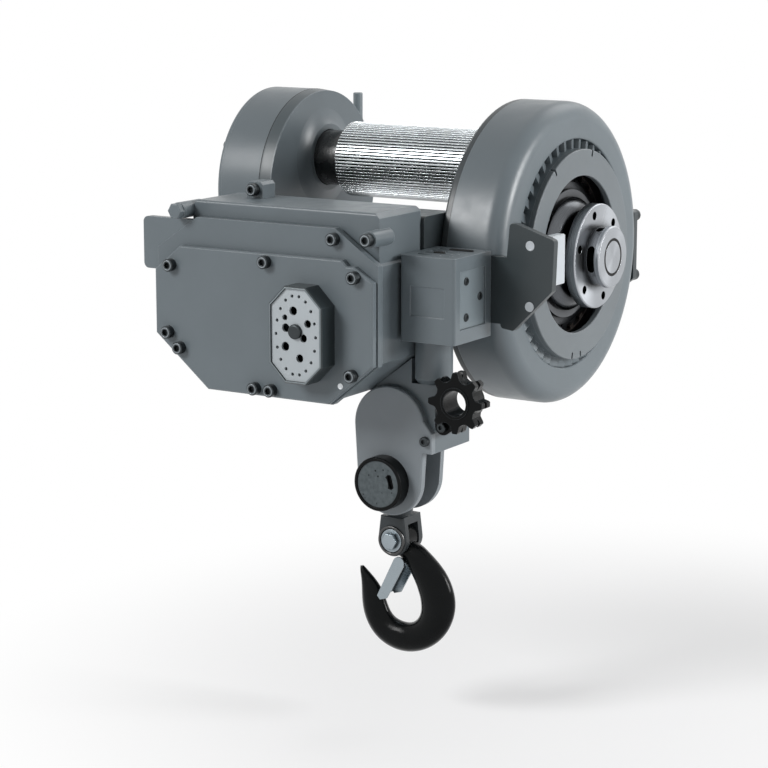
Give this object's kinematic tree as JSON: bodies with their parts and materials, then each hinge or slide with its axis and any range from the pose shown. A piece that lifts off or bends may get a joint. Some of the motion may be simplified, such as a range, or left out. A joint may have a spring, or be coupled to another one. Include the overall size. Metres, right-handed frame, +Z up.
{
  "type": "electric hoist",
  "caption": "Electric hoist with a fluted drum between round housings, an octagonal control case, a bolted output hub and a hanging block with a swivelling safety-latch hook.",
  "frame": {"origin": "centre of the output hub flange's outer face, on the main shaft's axis", "axes": "+X out of the hub flange along the main shaft, -Y towards the side with the case cover, +Z up, with the hook hanging towards -Z"},
  "size_m": [0.4569, 0.4961, 0.5614],
  "materials": {
    "body_paint": "satin blue-grey paint",
    "cover_paint": "satin blue-grey paint",
    "face_paint": "satin grey paint",
    "dark_paint": "satin charcoal paint",
    "ear_paint": "satin charcoal paint",
    "gloss_black": "gloss black",
    "bright_steel": "bright turned steel",
    "satin_steel": "satin turned steel",
    "zinc_steel": "zinc plated",
    "dark_steel": "blackened steel",
    "cap_face": "speckled dark cast face",
    "cast_grey": "plain casting",
    "vent_grey": "pale grey paint",
    "white_block": "pale moulding",
    "copper_coil": "enamelled winding",
    "gasket_rubber": "matt",
    "moulded_black": "moulded casing",
    "core_steel": "laminated core"
  },
  "bodies": {
    "frame": {"motor_housing": "body_paint", "end_housing": "body_paint", "end_bell": "body_paint", "end_cover": "body_paint", "case_body": "body_paint", "terminal_box": "body_paint", "hanger": "body_paint", "cheek_front": "body_paint", "cheek_rear": "body_paint", "vent_ring": "body_paint", "guide_post": "body_paint", "case_cover": "cover_paint", "vent_frame": "cover_paint", "terminal_box_lid": "cover_paint", "top_lug": "cover_paint", "side_plate": "cover_paint", "face_ring": "face_paint", "motor_back_plate": "dark_paint", "bed_frame": "dark_paint", "ear_front": "ear_paint", "ear_rear": "ear_paint", "star_carrier": "gloss_black", "ball_bearings": "satin_steel", "corner_plug": "zinc_steel", "case_screws": "dark_steel", "small_screws": "dark_steel", "ear_screws": "dark_steel", "vent_boss": "dark_steel", "sheave_pin": "dark_steel", "trunnion_caps": "cap_face", "bearing_plate": "cast_grey", "brake_magnet": "cast_grey", "vent_plate": "vent_grey", "guide_block": "white_block", "stator_windings": "copper_coil", "cover_gasket": "gasket_rubber", "contactors": "moulded_black", "stator_core": "core_steel", "transformer": "core_steel"},
    "drum_line": {"drum": "bright_steel", "drum_collar": "gloss_black", "drum_shaft": "satin_steel", "drum_gear": "dark_steel", "brake_disc": "cast_grey"},
    "rotor": {"main_shaft": "satin_steel", "motor_pinion": "dark_steel", "rotor_bell": "bright_steel", "rotor_magnets": "core_steel", "output_hub": "satin_steel", "nose_ring": "zinc_steel"},
    "sheave": {"sheave": "bright_steel"},
    "star_wheel": {"star_wheel": "gloss_black"},
    "crosshead": {"crosshead": "dark_steel"},
    "clevis": {"hook_clevis": "gloss_black", "swivel_nut": "zinc_steel", "clevis_bolt": "zinc_steel", "clevis_nut": "zinc_steel"},
    "hook": {"hook": "gloss_black", "latch_springs": "zinc_steel"},
    "latch": {"latch": "zinc_steel"}
  },
  "joints": [
    {"name": "drum_spin", "type": "hinge", "parent": "frame", "child": "drum_line", "pos_m": [-0.2, 0, 0.086], "axis": [1, 0, 0], "continuous": true},
    {"name": "motor_spin", "type": "hinge", "parent": "frame", "child": "rotor", "pos_m": [0, 0, 0], "axis": [1, 0, 0], "continuous": true},
    {"name": "sheave_spin", "type": "hinge", "parent": "frame", "child": "sheave", "pos_m": [-0.126, -0.1925, -0.158], "axis": [0, 1, 0], "continuous": true},
    {"name": "star_spin", "type": "hinge", "parent": "frame", "child": "star_wheel", "pos_m": [-0.0435, -0.21565, -0.124], "axis": [0, 1, 0], "continuous": true},
    {"name": "crosshead_tilt", "type": "hinge", "parent": "frame", "child": "crosshead", "pos_m": [-0.126, -0.1925, -0.213], "axis": [0, 1, 0], "range_deg": [-15, 15]},
    {"name": "hook_swivel", "type": "hinge", "parent": "crosshead", "child": "clevis", "pos_m": [-0.126, -0.1925, -0.213], "axis": [0, 0, 1], "continuous": true},
    {"name": "hook_tilt", "type": "hinge", "parent": "clevis", "child": "hook", "pos_m": [-0.126, -0.1925, -0.279], "axis": [0, 1, 0], "range_deg": [-30, 30]},
    {"name": "latch_open", "type": "hinge", "parent": "hook", "child": "latch", "pos_m": [-0.119, -0.1925, -0.3026], "axis": [0, -1, 0], "range_deg": [0, 28], "stiffness_Nm_per_rad": 0.05, "springref_deg": -57.3}
  ],
  "couplings": [
    {"joint": "motor_spin", "follows": "drum_spin", "ratio": -1.6875}
  ]
}
